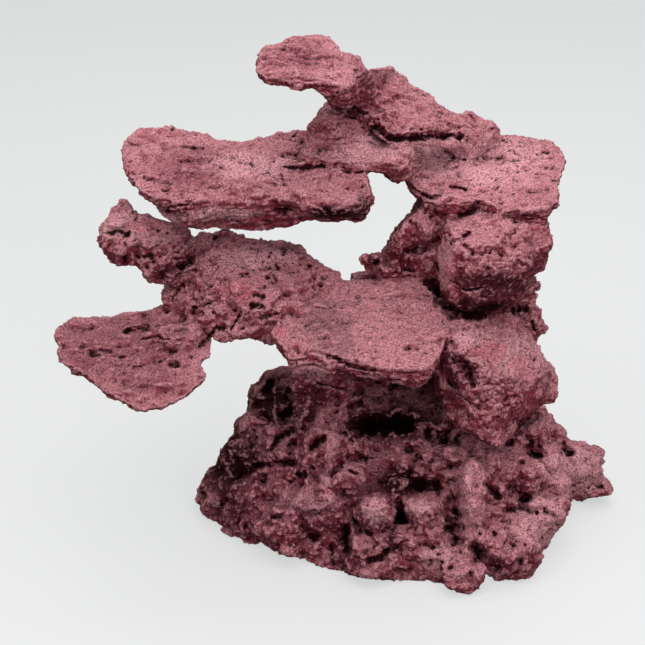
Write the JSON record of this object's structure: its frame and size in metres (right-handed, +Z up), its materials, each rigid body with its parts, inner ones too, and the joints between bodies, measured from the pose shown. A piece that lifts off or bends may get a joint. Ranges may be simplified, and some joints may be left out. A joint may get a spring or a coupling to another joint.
{
  "type": "coralline reef rock",
  "caption": "Free-standing reef aquascape of bonded pink coralline rock: a wide pitted foot, a cave under a shelf, stacked boulders, and thin ledges and arms reaching out to the side.",
  "frame": {"origin": "on the floor, below the middle of the bounding box", "axes": "+Z up; -Y is the front, the side with the cave's mouth; the long ledges reach out towards -X"},
  "size_m": [0.4066, 0.2214, 0.3428],
  "materials": {
    "base_rock_stone": "rough purple-mauve coralline crust, dark in the pits",
    "base_left_block_stone": "rough dark wine-red crust",
    "right_lower_boulder_stone": "rough rose-red crust",
    "centre_shelf_stone": "sandy pink crust",
    "knobbly_rock_stone": "knobbly rose crust",
    "rear_pillar_stone": "rough dark red crust",
    "right_upper_boulder_stone": "rough rose crust",
    "right_top_slab_stone": "sandy pink crust",
    "left_arm_rock_stone": "rough rose crust with a mauve patch",
    "left_finger_rock_stone": "rough rose crust",
    "left_plate_stone": "sandy rose crust",
    "left_upper_shelf_stone": "layered sandy pink crust",
    "bridge_slab_stone": "sandy pink crust",
    "crown_slab_stone": "sandy pink crust with a mauve facet",
    "crown_tip_slab_stone": "sandy pink crust"
  },
  "bodies": {
    "root": {"base_rock": "base_rock_stone", "base_left_block": "base_left_block_stone", "right_lower_boulder": "right_lower_boulder_stone", "centre_shelf": "centre_shelf_stone", "knobbly_rock": "knobbly_rock_stone", "rear_pillar": "rear_pillar_stone", "right_upper_boulder": "right_upper_boulder_stone", "right_top_slab": "right_top_slab_stone", "left_arm_rock": "left_arm_rock_stone", "left_finger_rock": "left_finger_rock_stone", "left_plate": "left_plate_stone", "left_upper_shelf": "left_upper_shelf_stone", "bridge_slab": "bridge_slab_stone", "crown_slab": "crown_slab_stone", "crown_tip_slab": "crown_tip_slab_stone"}
  },
  "joints": []
}
